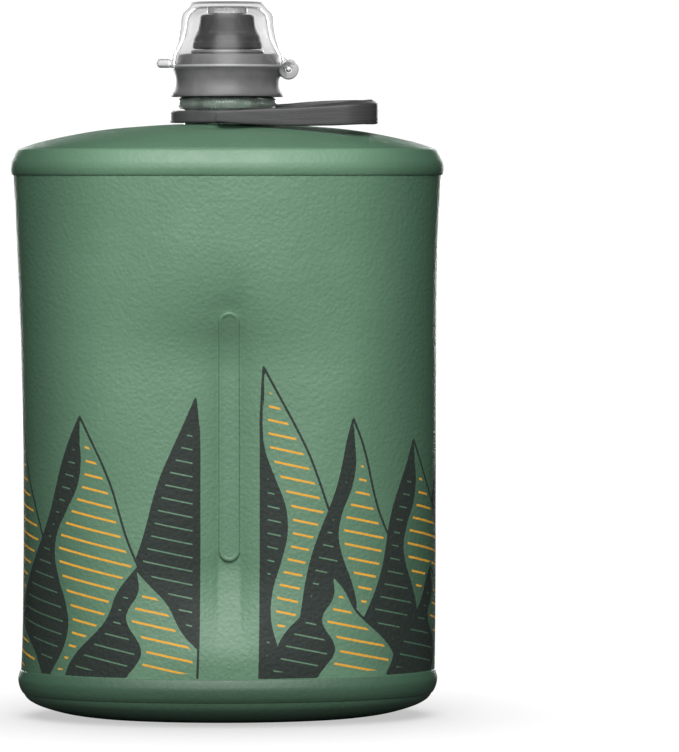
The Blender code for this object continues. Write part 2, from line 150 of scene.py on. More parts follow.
def solid_disc(radius, length, center, axis="Y", segments=64, bevel=0.0):
    bm = bmesh.new()
    bmesh.ops.create_cone(
        bm, cap_ends=True, segments=segments, radius1=radius * MM, radius2=radius * MM, depth=length * MM
    )
    if bevel:
        rim = [e for e in bm.edges if abs(e.calc_face_angle(0.0) - math.pi / 2) < 0.3 and e.verts[0].co.z * e.verts[1].co.z > 0]
        bmesh.ops.bevel(bm, geom=rim, offset=bevel * MM, segments=3, affect="EDGES", profile=0.5)
    turn = Matrix.Rotation(math.pi / 2, 4, "X") if axis == "Y" else Matrix.Identity(4)
    bm.transform(Matrix.Translation(Vector(center) * MM) @ turn)
    mesh = bpy.data.meshes.new("tool")
    bm.to_mesh(mesh)
    bm.free()
    obj = bpy.data.objects.new("tool", mesh)
    bpy.context.scene.collection.objects.link(obj)
    return obj


def carve(obj, tools, angle=38.0):
    """Adds or cuts the tools, (operation, object) each, and keeps the result as one mesh."""
    for operation, tool in tools:
        mod = obj.modifiers.new("b", "BOOLEAN")
        mod.operation = operation
        mod.solver = "EXACT"
        mod.object = tool
    bpy.context.view_layer.update()
    mesh = bpy.data.meshes.new_from_object(obj.evaluated_get(bpy.context.evaluated_depsgraph_get()))
    obj.modifiers.clear()
    obj.data = mesh
    for _, tool in tools:
        bpy.data.objects.remove(tool, do_unlink=True)
    return tidy(obj, angle)


def add_attribute(obj, name, kind, values):
    attribute = obj.data.attributes.new(name, kind, "POINT")
    key = "vector" if kind == "FLOAT_VECTOR" else "value"
    attribute.data.foreach_set(key, np.ascontiguousarray(values, np.float32).ravel())


def remember_rest(obj):
    """Stores each vertex's rest position in millimetres, so that patterns stay put when the mesh is flattened."""
    co = np.zeros(len(obj.data.vertices) * 3, np.float32)
    obj.data.vertices.foreach_get("co", co)
    add_attribute(obj, "rest_mm", "FLOAT_VECTOR", co * 1000.0)


def table_at(table, x):
    xs, ys = zip(*table)
    return np.interp(x, xs, ys)


def ease(t):
    t = np.clip(t, 0.0, 1.0)
    return t * t * (3.0 - 2.0 * t)


# ---------------------------------------------------------------- material helpers
def lin(r, g, b):
    """sRGB 0-255 to linear."""
    out = []
    for c in (r, g, b):
        c /= 255.0
        out.append(c / 12.92 if c <= 0.04045 else ((c + 0.055) / 1.055) ** 2.4)
    return (*out, 1.0)


class Nodes:
    """A short way to write a node tree."""

    def __init__(self, name):
        self.mat = bpy.data.materials.new(name)
        self.mat.use_nodes = True
        self.tree = self.mat.node_tree
        self.tree.nodes.clear()
        self.out = self.tree.nodes.new("ShaderNodeOutputMaterial")

    def new(self, kind, **inputs):
        node = self.tree.nodes.new("ShaderNode" + kind)
        for key, value in inputs.items():
            if key.startswith("p_"):
                setattr(node, key[2:], value)
        for key, value in inputs.items():
            if not key.startswith("p_"):
                self.put(node, key.replace("_", " ") if key.replace("_", " ") in node.inputs else key, value)
        return node

    def put(self, node, key, value):
        socket = node.inputs[key] if not isinstance(key, int) else node.inputs[key]
        if isinstance(value, bpy.types.NodeSocket):
            self.tree.links.new(value, socket)
        elif isinstance(value, bpy.types.Node):
            self.tree.links.new(value.outputs[0], socket)
        else:
            socket.default_value = value

    def math(self, operation, a, b=0.0, c=None, clamp=False):
        node = self.tree.nodes.new("ShaderNodeMath")
        node.operation = operation
        node.use_clamp = clamp
        self.put(node, 0, a)
        self.put(node, 1, b)
        if c is not None:
            self.put(node, 2, c)
        return node.outputs[0]

    def ramp(self, value, low, high, to_low=0.0, to_high=1.0, smooth=True):
        node = self.tree.nodes.new("ShaderNodeMapRange")
        node.interpolation_type = "SMOOTHSTEP" if smooth else "LINEAR"
        node.clamp = True
        self.put(node, 0, value)
        for i, v in enumerate((low, high, to_low, to_high)):
            node.inputs[i + 1].default_value = v
        return node.outputs[0]

    def mix(self, factor, a, b, blend="MIX"):
        node = self.tree.nodes.new("ShaderNodeMix")
        node.data_type = "RGBA"
        node.blend_type = blend
        self.put(node, 0, factor)
        self.put(node, 6, a)
        self.put(node, 7, b)
        return node.outputs[2]

    def attribute(self, name, output="Fac"):
        node = self.tree.nodes.new("ShaderNodeAttribute")
        node.attribute_name = name
        return node.outputs[output]

    def noise(self, vector, scale, detail=3.0, rough=0.5):
        node = self.tree.nodes.new("ShaderNodeTexNoise")
        self.put(node, "Vector", vector)
        node.inputs["Scale"].default_value = scale
        node.inputs["Detail"].default_value = detail
        node.inputs["Roughness"].default_value = rough
        return node.outputs["Fac"]

    def stretched(self, vector, scale):
        node = self.tree.nodes.new("ShaderNodeMapping")
        self.put(node, "Vector", vector)
        node.inputs["Scale"].default_value = scale
        return node.outputs[0]

    def bump(self, height, strength, distance, normal=None):
        node = self.tree.nodes.new("ShaderNodeBump")
        self.put(node, "Height", height)
        node.inputs["Strength"].default_value = strength
        node.inputs["Distance"].default_value = distance
        if normal is not None:
            self.put(node, "Normal", normal)
        return node.outputs[0]

    def principled(self, **inputs):
        node = self.tree.nodes.new("ShaderNodeBsdfPrincipled")
        names = {
            "color": "Base Color", "rough": "Roughness", "normal": "Normal", "metal": "Metallic",
            "spec": "Specular IOR Level", "coat": "Coat Weight", "coat_rough": "Coat Roughness",
            "alpha": "Alpha", "sheen": "Sheen Weight", "trans": "Transmission Weight", "ior": "IOR",
            "sss": "Subsurface Weight", "sss_scale": "Subsurface Scale",
        }
        for key, value in inputs.items():
            self.put(node, names[key], value)
        return node.outputs[0]

    def finish(self, shader):
        self.tree.links.new(shader, self.out.inputs["Surface"])
        return self.mat

    def object_mm(self):
        """Object coordinates in millimetres."""
        tex = self.tree.nodes.new("ShaderNodeTexCoord")
        return self.stretched(tex.outputs["Object"], (1000.0, 1000.0, 1000.0))


def dress(obj, mat):
    obj.data.materials.clear()
    obj.data.materials.append(mat)
    return obj


# ---------------------------------------------------------------- soft vessel: shape
QUARTER = 132
first = [(i / QUARTER) ** 1.2 * math.pi / 2 for i in range(QUARTER)]
half = first + [math.pi - a for a in reversed(first + [math.pi / 2]) if a > 0]
ANGLES = np.array(half + [a + math.pi for a in half])
COLUMNS = len(ANGLES)


def arc_lengths():
    """Length round the middle oval from the front's middle, for each column: positive towards +X."""
    fine = np.linspace(0.0, math.tau, 7201)
    x, y = 62.3 * np.sin(fine), -33.0 * np.cos(fine)
    run = np.concatenate([[0.0], np.cumsum(np.hypot(np.diff(x), np.diff(y)))])
    at = np.interp(ANGLES, fine, run)
    return np.where(at > run[-1] / 2, at - run[-1], at), run[-1]


ARC, GIRTH = arc_lengths()


def pinch_share(z):
    """How much of the full pinch there is at each height: all of it beside the bars' lower part, and none above their heads."""
    z = np.asarray(z, float)
    low = BAR_Z[0] - 2.0
    below = ease(1.0 - (low - z) / 31.0)
    t = np.clip((z - 105.0) / 13.0, 0.0, 1.0)
    u = np.clip((145.0 - z) / 27.0, 0.0, 1.0)
    above = np.where(z <= 118.0, 1.0 - 0.32 * t * t, 0.68 * u * u)
    return np.where(z < low, below, above)


def pinch_depth(z, half_depth):
    ends = ease((165.6 - z) / 14.0) * ease((z - 12.9) / 14.0)
    return (half_depth - FILM_AT_BAR) * pinch_share(z) * ends


def calm_top(z):
    return float(ease((165.0 - z) / 8.0))


def film_rows(levels):
    rows = []
    for z in levels:
        a, b = table_at(FILM_HALF_WIDTHS, z), table_at(FILM_HALF_DEPTHS, z)
        x, y = a * np.sin(ANGLES), -b * np.cos(ANGLES)
        pinch = pinch_depth(z, b)
        # a broad hollow, and a narrower fold close beside the bar
        lean = table_at(FILM_LEAN, z) * calm_top(z)
        here = x + lean - BAR_X
        shift = -3.0 * math.exp(-(((z - 120.0) / 13.0) ** 2))
        away = np.maximum(np.abs(here) - BAR_WIDTH / 2, 0.0)
        wide = np.maximum(np.abs(here - shift * ease(np.abs(here) / 12.0)) - BAR_WIDTH / 2, 0.0)
        drawn = pinch * (0.61 * np.exp(-((wide / 25.0) ** 1.5)) + 0.39 * np.exp(-(away / 6.0)))
        # the film puckers a little at the two ends of the bar
        for z_end in (BAR_Z[1] + 1.2, BAR_Z[0] - 1.2):
            drawn = drawn + 0.35 * np.exp(-(((z - z_end) / 3.0) ** 2)) * np.exp(-((here / 4.5) ** 2))
        # broad slackness of the film
        wave = 0.22 * np.sin(0.09 * x + 0.05 * z + 1.3) * np.sin(0.043 * z - 0.4) + 0.12 * np.sin(
            0.17 * x - 0.08 * z
        )
        calm = ease((z - 13.0) / 22.0) * ease((165.0 - z) / 20.0) * np.abs(np.cos(ANGLES)) ** 0.5
        edge = ease(np.minimum(1.0, np.abs(y) / (0.45 * b)))
        y = y - np.sign(y) * (drawn * edge + wave * calm)
        x = x + lean
        rows.append(np.column_stack([x, y, np.full(COLUMNS, z)]))
    return rows


def skin(name, rows, inner=1.0, cap_first=False, cap_last=False, wrap=False):
    """A film surface with its inner face, from rows of points that run upwards or inwards."""
    rows = [np.asarray(r, float) for r in rows]
    count = len(rows)
    points = np.concatenate(rows)
    faces = []
    for k in range(count - 1):
        low, high = k * COLUMNS, (k + 1) * COLUMNS
        for i in range(COLUMNS):
            j = (i + 1) % COLUMNS
            faces.append((low + i, low + j, high + j, high + i))
    if wrap:
        low = (count - 1) * COLUMNS
        for i in range(COLUMNS):
            j = (i + 1) % COLUMNS
            faces.append((low + i, low + j, j, i))
    if cap_first:
        faces.append(tuple(reversed(range(COLUMNS))))
    if cap_last:
        faces.append(tuple(range((count - 1) * COLUMNS, count * COLUMNS)))
    obj = new_mesh_object(name, points, faces)
    if inner:
        mod = obj.modifiers.new("film", "SOLIDIFY")
        mod.thickness = inner * MM
        mod.offset = -1.0
        mod.use_even_offset = True
        bpy.context.view_layer.update()
        mesh = bpy.data.meshes.new_from_object(obj.evaluated_get(bpy.context.evaluated_depsgraph_get()))
        obj.modifiers.clear()
        obj.data = mesh
    return obj


def oval_row(a, b, z):
    return np.column_stack([a * np.sin(ANGLES), -b * np.cos(ANGLES), np.full(COLUMNS, float(z))])


levels = np.concatenate([
    np.linspace(13.0, 110.4, 163, endpoint=False), np.linspace(110.4, 134.0, 30, endpoint=False),
    np.linspace(134.0, 165.6, 28),
])
# the inner face, from the top down, with fewer rows
inner_levels = np.linspace(165.5, 13.1, 34)
inward = np.column_stack([np.sin(ANGLES) / 62.3, -np.cos(ANGLES) / 33.0])
inward /= np.linalg.norm(inward, axis=1)[:, None]
inner_rows = film_rows(inner_levels)
for row in inner_rows:
    row[:, :2] -= 0.9 * inward
film = skin("film_wall", film_rows(levels) + inner_rows, inner=0.0, wrap=True)

# print coordinates: how far round (arc) and how high
arc_rows = np.tile(ARC, len(levels))
z_rows = np.repeat(levels, COLUMNS)


# ---------------------------------------------------------------- the print: plain peaks with hatched faces
def flowing(points, steps=7):
    """A smooth curve through the points (Catmull-Rom)."""
    p = np.array(points, float)
    p = np.vstack([2 * p[0] - p[1], p, 2 * p[-1] - p[-2]])
    out = []
    for i in range(1, len(p) - 2):
        for k in range(steps):
            t = k / steps
            out.append(
                0.5 * ((2 * p[i]) + (-p[i - 1] + p[i + 1]) * t
                + (2 * p[i - 1] - 5 * p[i] + 4 * p[i + 1] - p[i + 2]) * t * t
                + (-p[i - 1] + 3 * p[i] - 3 * p[i + 1] + p[i + 2]) * t ** 3)
            )
    out.append(p[-2])
    return out


def signed_distance(outline, s, z):
    """Distance to a closed outline, negative inside, for many points at once."""
    poly = np.array(outline, float)
    result = np.full(len(s), 60.0)
    lo, hi = poly.min(0) - 12.0, poly.max(0) + 12.0
    near = (s > lo[0]) & (s < hi[0]) & (z > lo[1]) & (z < hi[1])
    if not near.any():
        return result
    px, pz = s[near], z[near]
    best = np.full(len(px), 1e9)
    inside = np.zeros(len(px), bool)
    for (x0, z0), (x1, z1) in zip(poly, np.roll(poly, -1, 0)):
        dx, dz = x1 - x0, z1 - z0
        length = dx * dx + dz * dz
        if length < 1e-12:
            continue
        t = np.clip(((px - x0) * dx + (pz - z0) * dz) / length, 0, 1)
        best = np.minimum(best, np.hypot(px - x0 - t * dx, pz - z0 - t * dz))
        crosses = (z0 > pz) != (z1 > pz)
        if crosses.any():
            at = x0 + (pz - z0) * dx / (dz if abs(dz) > 1e-12 else 1e-12)
            inside ^= crosses & (px < at)
    result[near] = np.where(inside, -best, best)
    return result


PRINT_FLOOR = 14.4


def peak(x, top, left, right, drift, sway, turns=1.5, phase=0.0, dark="left"):
    """One plain peak: two flanks that flare towards the foot, and a ridge that winds down between them. The dark face is left, right or both."""
    drop = top - 15.0
    steps = [k / 11.0 for k in range(12)]

    def flank(reach, seed):
        return [
            (x + reach * (0.86 * t ** 0.92 + 0.14 * t * t) + 1.3 * math.sin(9.0 * t + seed) * min(1.0, 3.0 * t) * min(1.0, abs(reach) / 20.0), top - drop * t)
            for t in steps
        ]

    ridge = [
        (x + drift * t + sway * math.sin(math.tau * turns * t + phase) * min(1.0, 2.6 * t), top - drop * t) for t in steps
    ]
    left, ridge, right = flowing(flank(-left, x)), flowing(ridge), flowing(flank(right, x + 2.0))
    whole = list(reversed(left)) + right[1:]
    whole = [np.array((whole[0][0], PRINT_FLOOR - 8))] + whole + [np.array((whole[-1][0], PRINT_FLOOR - 8))]
    side = left if dark == "left" else right
    face = list(reversed(side)) + ridge[1:]
    face = [np.array((face[0][0], PRINT_FLOOR - 8))] + face + [np.array((face[-1][0], PRINT_FLOOR - 8))]
    return whole, (whole if dark == "both" else face)


# from the back to the front: place, height, reach to each side, and how the ridge runs
PEAKS = [
    peak(-10.0, 98.0, 34.0, 8.0, 0.0, 0.0, dark="both"),
    peak(-74.0, 94.0, 26.0, 26.0, -8.0, 3.0, 1.4, 0.6),
    peak(10.2, 107.5, 5.0, 45.0, 7.0, 3.6, 1.6, 2.9),
    peak(37.5, 92.0, 22.0, 27.0, -3.0, 3.4, 1.6, 0.3),
    peak(59.0, 85.0, 24.0, 34.0, -2.0, 3.2, 1.6, 0.2),
    peak(-46.0, 92.5, 33.0, 35.0, -10.0, 4.2, 1.5, 0.0),
    peak(-28.0, 47.0, 22.0, 27.0, -1.0, 2.6, 1.5, 0.5),
    peak(31.0, 45.0, 23.0, 25.0, -2.0, 2.4, 1.6, 0.4),
    peak(68.0, 46.0, 20.0, 26.0, 2.0, 2.4, 1.5, 0.2),
]


def print_fields(arc, z):
    """Two fields that are negative inside the dark and the light faces, and the signed distances to the outlines of what shows of each peak, spread over a few fields so that no two touching peaks share one."""
    dark, light = (np.full(len(arc), 60.0) for _ in range(2))
    repeat = GIRTH / 2
    # the bare strip beside the bar, at the front and at the back
    strips = np.full(len(arc), 60.0)
    for middle in (0.0, repeat, -repeat):
        s = arc - middle
        strips = np.minimum(strips, np.abs(s - 0.05) - 9.15)
    shown = []
    for whole, face in PEAKS:
        for shift in (-2, -1, 0, 1, 2):
            outline = np.array(whole) + (shift * repeat, 0)
            if outline[:, 0].max() < arc.min() - 3 or outline[:, 0].min() > arc.max() + 3:
                continue
            m = signed_distance(outline, arc, z)
            d = np.maximum(signed_distance(np.array(face) + (shift * repeat, 0), arc, z), m)
            dark = np.minimum(np.maximum(dark, -m), d)
            light = np.minimum(np.maximum(light, -m), np.maximum(m, -d))
            shown = [np.maximum(r, -m) for r in shown] + [m]
    dark, light = np.maximum(dark, -strips), np.maximum(light, -strips)
    groups = []
    for r in (np.maximum(r, -strips) for r in shown):
        close = np.abs(r) < 1.3
        if not (r < 0).any():
            continue
        for group in groups:
            if not (close & (np.abs(group) < 1.3)).any():
                group[:] = np.minimum(group, r)
                break
        else:
            groups.append(r.copy())
    floor = PRINT_FLOOR - z
    return np.maximum(dark, floor), np.maximum(light, floor), groups


dark_rows, light_rows, edge_rows = print_fields(arc_rows, z_rows)
bare = np.full(len(inner_levels) * COLUMNS, 60.0)
add_attribute(film, "print_dark", "FLOAT", np.concatenate([dark_rows, bare]))
add_attribute(film, "print_light", "FLOAT", np.concatenate([light_rows, bare]))
for k, values in enumerate(edge_rows):
    add_attribute(film, "print_edge_%d" % k, "FLOAT", np.concatenate([values, bare]))
arc_all = np.tile(ARC, len(levels) + len(inner_levels))
add_attribute(film, "print_arc", "FLOAT", np.where(arc_all < -GIRTH / 4, arc_all + GIRTH / 2, np.where(arc_all > GIRTH / 4, arc_all - GIRTH / 2, arc_all)))
remember_rest(film)

# ---------------------------------------------------------------- soft vessel: panels and rims
base_profile = (
    (0.0, 0.0), (0.3, 0.0), (0.6, 0.0), (0.70, 0.15), (0.76, 0.65), (0.82, 1.4), (0.88, 2.45), (0.925, 3.45),
    (0.955, 4.4), (0.975, 5.3), (0.988, 6.3), (0.995, 7.2),
)
fine = [(0.02, 0.0), (0.3, 0.0), (0.55, 0.0)] + list(map(tuple, flowing(base_profile[3:], 4)))
rows = [oval_row(s * 62.6, s * (62.6 - RIM_INSET), z) for s, z in fine]
base = skin("base_skin", rows, inner=0.9, cap_first=True)
remember_rest(base)


def rim(name, profile, radius):
    pts = rounded(profile, radius, 5)
    rows = [oval_row(a, a - RIM_INSET, z) for a, z in pts]
    obj = skin(name, rows + [rows[0]], inner=0.0)
    tidy(obj, 60.0)
    remember_rest(obj)
    return obj


base_rim = rim(
    "base_rim_band",
    ((61.4, 6.9), (62.45, 6.95), (63.3, 8.4), (63.75, 9.9), (63.95, 11.4), (63.6, 12.9), (63.15, 14.2), (61.8, 14.2)),
    (0.2, 0.5, 1.2, 1.2, 1.2, 1.2, 0.3, 0.2),
)
shoulder_rim = rim(
    "shoulder_rim_band",
    ((63.8, 164.6), (65.3, 164.6), (65.65, 165.6), (65.83, 166.9), (65.62, 168.5), (64.55, 170.9), (63.75, 172.4), (62.9, 172.75), (62.0, 172.3), (62.9, 169.3)),
    (0.2, 0.4, 0.7, 0.9, 1.5, 1.5, 0.6, 0.5, 0.2, 0.4),
)

dome = (
    (62.95, 171.9), (62.6, 172.6), (61.3, 173.2), (57.2, 174.5), (52.5, 175.6), (47.0, 176.75), (40.75, 177.85),
    (33.5, 178.75), (24.0, 179.5), (17.5, 179.9), (14.4, 179.95), (13.7, 179.7),
)
rows = []
for a, z in flowing(dome, 5):
    t = np.clip((62.3 - a) / (62.3 - 13.6), -0.02, 1)
    row = oval_row(a, (62.3 - RIM_INSET) * (1 - t) + 13.6 * t, z)
    # a shallow dip on each side, where the ends of the lifted carry loop turn
    row[:, 2] -= 0.95 * np.exp(-((row[:, 0] / 6.0) ** 2)) * np.exp(-(((np.abs(row[:, 1]) - 19.0) / 2.0) ** 2))
    rows.append(row)
shoulder = skin("shoulder_skin", rows, inner=0.9)
remember_rest(shoulder)


# ---------------------------------------------------------------- weld bars and web
def stadium(width, low, high, inset, count=20):
    r = width / 2 - inset
    out = []
    for k in range(count + 1):
        a = math.pi * k / count
        out.append((r * math.cos(a), high - width / 2 + r * math.sin(a)))
    for k in range(count + 1):
        a = math.pi + math.pi * k / count
        out.append((r * math.cos(a), low + width / 2 + r * math.sin(a)))
    return out


def film_face(z):
    """How far the film stands from the middle plane along the middle of a bar."""
    half_depth = table_at(FILM_HALF_DEPTHS, z)
    return half_depth - pinch_depth(z, half_depth)


def bar(name, side):
    """A long embossed bar with round ends, crowned, with a rolled edge, lying along the film."""
    r = BAR_WIDTH / 2
    low, high = BAR_Z[0] + r, BAR_Z[1] - r
    turns = np.radians(np.linspace(0.0, 88.0, 16))
    sections = [(low - r * math.sin(a), r * math.cos(a)) for a in turns[::-1]]
    sections += [(z, r) for z in np.linspace(low, high, 60)[1:-1]]
    sections += [(high + r * math.sin(a), r * math.cos(a)) for a in turns]
    across = np.concatenate([[-1.0], -np.cos(np.linspace(0, math.pi, 25))[1:-1], [1.0]])
    points, faces = [], []
    for z, w in sections:
        face = film_face(z)
        for u in across:
            x = w * u
            # distance in from the bar's outline, which sets the height of the rolled edge
            if z < low:
                inset = r - math.hypot(x, z - low)
            elif z > high:
                inset = r - math.hypot(x, z - high)
            else:
                inset = r - abs(x)
            t = min(1.0, max(0.0, inset) / 0.75)
            roll = 0.62 * math.sqrt(max(0.0, 1.0 - (1.0 - t) ** 2)) - 0.16 * ease((inset - 0.75) / 0.7)
            points.append((x + BAR_X, side * (face + 0.02 + roll), z))
        for u in (across[-1], across[0]):
            points.append((w * u + BAR_X, side * (face - 1.1), z))
    n = len(across) + 2
    count = len(sections)
    for k in range(count - 1):
        for i in range(n):
            j = (i + 1) % n
            faces.append((k * n + i, k * n + j, (k + 1) * n + j, (k + 1) * n + i))
    faces.append(tuple(range(n)))
    faces.append(tuple((count - 1) * n + i for i in range(n)))
    obj = tidy(new_mesh_object(name, points, faces), 60)
    remember_rest(obj)
    return obj


front_bar, back_bar = bar("front_bar_skin", -1), bar("back_bar_skin", 1)

rows = []
web_points, web_faces = [], []
cols, heights = np.linspace(-22.4, 22.4, 24), np.linspace(52.0, 121.0, 24)
for side in (0.5, -0.5):
    for z in heights:
        for y in cols:
            web_points.append((side + 0.25 * math.sin(0.3 * y) * math.sin(0.1 * z), y, z))
nc, nz = len(cols), len(heights)
for side, flip in ((0, False), (1, True)):
    o = side * nc * nz
    for i in range(nz - 1):
        for j in range(nc - 1):
            f = (o + i * nc + j, o + i * nc + j + 1, o + (i + 1) * nc + j + 1, o + (i + 1) * nc + j)
            web_faces.append(tuple(reversed(f)) if flip else f)
edge_loop = (
    [i for i in range(nc)] + [k * nc + nc - 1 for k in range(1, nz)]
    + [(nz - 1) * nc + j for j in range(nc - 2, -1, -1)] + [k * nc for k in range(nz - 2, 0, -1)]
)
for p, q in zip(edge_loop, edge_loop[1:] + edge_loop[:1]):
    web_faces.append((p, q, q + nc * nz, p + nc * nz))
web = tidy(new_mesh_object("web_skin", web_points, web_faces), 60)
remember_rest(web)

# ---------------------------------------------------------------- neck
neck = revolve(
    "neck_skin",
    rounded(
        (
            (12.1, 197.2), (12.6, 197.2), (12.6, 188.3), (14.1, 188.2), (15.05, 187.0), (15.05, 185.8),
            (14.2, 184.6), (13.2, 184.55), (13.2, 178.4), (17.0, 178.4), (17.0, 176.9), (11.4, 176.9),
            (10.8, 177.5), (10.8, 197.2),
        ),
        (0.2, 0.4, 0.5, 0.5, 0.5, 0.5, 0.4, 0.3, 0.3, 0.3, 0.3, 0.3, 0.3, 0.2),
    ),
    144,
)


def helix(name, root, crest, start, stop, z0, pitch, root_w, crest_w, per_turn=72):
    steps = round((stop - start) / 360.0 * per_turn)
    rings = []
    for k in range(steps + 1):
        turn = start + (stop - start) * k / steps
        fade = ease(min(1.0, 0.08 + min(k, steps - k) / 8.0))
        z = z0 + pitch * turn / 360.0
        tip = root + (crest - root) * float(fade)
        a = math.radians(turn)
        section = ((root, -root_w / 2), (tip - 0.15, -crest_w / 2 - 0.1), (tip, -crest_w / 4), (tip, crest_w / 4), (tip - 0.15, crest_w / 2 + 0.1), (root, root_w / 2))
        rings.append([(r * math.cos(a), r * math.sin(a), z + dz) for r, dz in section])
    n = 6
    points = [p for ring in rings for p in ring]
    faces = [tuple(range(n)), tuple(n * steps + i for i in reversed(range(n)))]
    for k in range(steps):
        for i in range(n):
            j = (i + 1) % n
            faces.append((n * k + i, n * k + n + i, n * k + n + j, n * k + j))
    return tidy(new_mesh_object(name, points, faces), 60)


neck = carve(neck, [("UNION", helix("t", 12.3, 13.8, 0, 540, 190.2, 4.2, 1.7, 0.9))])

# ---------------------------------------------------------------- carry loop
ring = revolve(
    "ring_skin",
    rounded(
        ((17.5, 184.1), (17.5, 180.4), (13.6, 180.4), (13.6, 184.1)), (0.75, 0.75, 0.3, 0.3), 5
    ),
    144,
)
ring = carve(ring, [
    ("UNION", solid_disc(1.2, 2.6, (0, side * 18.0, STRAP_PIVOT_Z), segments=32)) for side in (-1, 1)
])

STRAP_LOW = ((-4.2, 180.6), (5.0, 179.9), (19.0, 179.3), (32.0, 179.5), (45.5, 180.1))
STRAP_HIGH = ((-4.2, 183.9), (5.0, 184.3), (19.0, 185.0), (32.0, 186.3), (45.5, 187.6))


def strap_skin():
    """The loop as a band swept round its plan, with the far leg lying a little higher and a lean that grows to the end."""
    def run(y_at, x_end, corner, start):
        pts = [(start + (x_end - corner - start) * k / 60, -y_at) for k in range(61)]
        cx, cy = x_end - corner, -(y_at - corner)
        for k in range(1, 25):
            a = -math.pi / 2 + math.pi / 2 * k / 24
            pts.append((cx + corner * math.cos(a), cy + corner * math.sin(a)))
        return pts

    outer = run(20.4, 45.5, 11.0, -3.2)
    inner = run(17.8, 42.9, 8.4, -3.2)
    # the two halves are mirror images about y = 0
    outer = outer + [(x, -y) for x, y in reversed(outer)]
    inner = inner + [(x, -y) for x, y in reversed(inner)]
    outer, inner = np.array(outer), np.array(inner)
    seg = np.hypot(*np.diff((outer + inner) / 2, axis=0).T)
    along = np.concatenate([[0.0], np.cumsum(seg)])
    points, runs = [], []
    r = 0.55
    for k, (o, i) in enumerate(zip(outer, inner)):
        x = (o[0] + i[0]) / 2
        low, high = table_at(STRAP_LOW, x), table_at(STRAP_HIGH, x)
        back = ease((o[1] + 6.0) / 24.0)
        rise = back * 1.5 * math.sin(math.pi * np.clip((x + 4.2) / 48.0, 0, 1)) ** 0.8
        low, high = low + 0.6 * rise, high + rise
        lean = 0.9 * ease((x - 8.0) / 34.0)
        width = i - o
        width = width / np.linalg.norm(width)
        # corner rounding, anticlockwise from the outer low corner
        section = []
        for cx, cz, a0 in ((r, low + r, math.pi), (r, high - r - lean, math.pi / 2), (2.6 - r, high - r, 0.0), (2.6 - r, low + r, -math.pi / 2)):
            for q in range(5):
                a = a0 - math.pi / 2 * q / 4 + (math.pi / 2 if a0 == math.pi else math.pi / 2)
                section.append((cx, cz, a))
        ring_pts = []
        corners = ((r, low + r, 1.5 * math.pi, math.pi), (r, high - r - lean, math.pi, 0.5 * math.pi),
                   (2.6 - r, high - r, 0.5 * math.pi, 0.0), (2.6 - r, low + r, 0.0, -0.5 * math.pi))
        for cx, cz, a0, a1 in corners:
            for q in range(5):
                a = a0 + (a1 - a0) * q / 4
                ring_pts.append((cx + r * math.cos(a), cz + r * math.sin(a)))
            if cx == r and a0 == 1.5 * math.pi:
                # points up the outer face
                for q in range(1, 6):
                    ring_pts.append((0.0, low + r + (high - lean - low - 2 * r) * q / 6))
        for w, h in ring_pts:
            p = o + width * w
            points.append((p[0], p[1], h))
            runs.append((along[k], h - low, w))
    n = len(ring_pts)
    count = len(outer)
    faces = []
    for k in range(count - 1):
        for q in range(n):
            m = (q + 1) % n
            faces.append((n * k + q, n * (k + 1) + q, n * (k + 1) + m, n * k + m))
    faces.append(tuple(range(n)))
    faces.append(tuple((count - 1) * n + q for q in range(n)))
    obj = new_mesh_object("strap_skin", points, faces)
    add_attribute(obj, "along_mm", "FLOAT_VECTOR", np.array(runs))
    bm = bmesh.new()
    bm.from_mesh(obj.data)
    bmesh.ops.recalc_face_normals(bm, faces=bm.faces)
    for edge in bm.edges:
        edge.smooth = not (len(edge.link_faces) == 2 and edge.calc_face_angle(0.0) > math.radians(50))
    bm.to_mesh(obj.data)
    bm.free()
    return obj


strap = strap_skin()

# ---------------------------------------------------------------- cap
cap = revolve(
    "cap_skin",
    rounded(
        (
            (13.9, 201.25), (14.9, 200.95), (15.95, 197.1), (16.45, 196.6), (16.15, 195.4), (15.7, 193.2),
            (15.95, 191.2), (16.95, 189.2), (16.95, 188.3), (14.5, 188.3), (14.2, 188.8), (14.2, 198.9),
            (6.0, 198.9), (5.6, 199.3), (5.6, 201.25), (9.0, 201.25),
        ),
        (0.7, 0.8, 0.25, 0.3, 2.0, 2.6, 2.0, 1.0, 0.35, 0.2, 0.2, 0.4, 0.2, 0.2, 0.2, 0.2),
        5,
    ),
    160,
    angle=34.0,
)
tools = [("UNION", helix("t", 14.5, 13.05, 150, 690, 188.1, 4.2, 1.7, 0.9))]
for side in (-1, 1):
    tools.append(("DIFFERENCE", solid_disc(3.35, 2.7, (18.6, side * 3.65, 196.6))))
tools += [
    ("UNION", solid_box((15.1, -2.05, 194.45), (18.7, 2.05, 197.15))),
    ("UNION", solid_disc(2.4, 4.4, HINGE, bevel=0.3)),
    ("DIFFERENCE", solid_disc(1.1, 8.0, HINGE, segments=32)),
]
cap = carve(cap, tools, 34.0)

gasket = revolve("gasket_skin", rounded(((13.9, 198.6), (13.9, 197.6), (11.0, 197.6), (11.0, 198.6)), 0.25), 96)
pin = revolve("pin_skin", rounded(((0.0, 4.7), (0.8, 4.7), (0.8, -4.7), (0.0, -4.7)), 0.25), 40, closed=False)
pin.data.transform(Matrix.Translation(Vector(HINGE) * MM) @ Matrix.Rotation(math.pi / 2, 4, "X"))
pin.data.transform(Matrix.Identity(4))

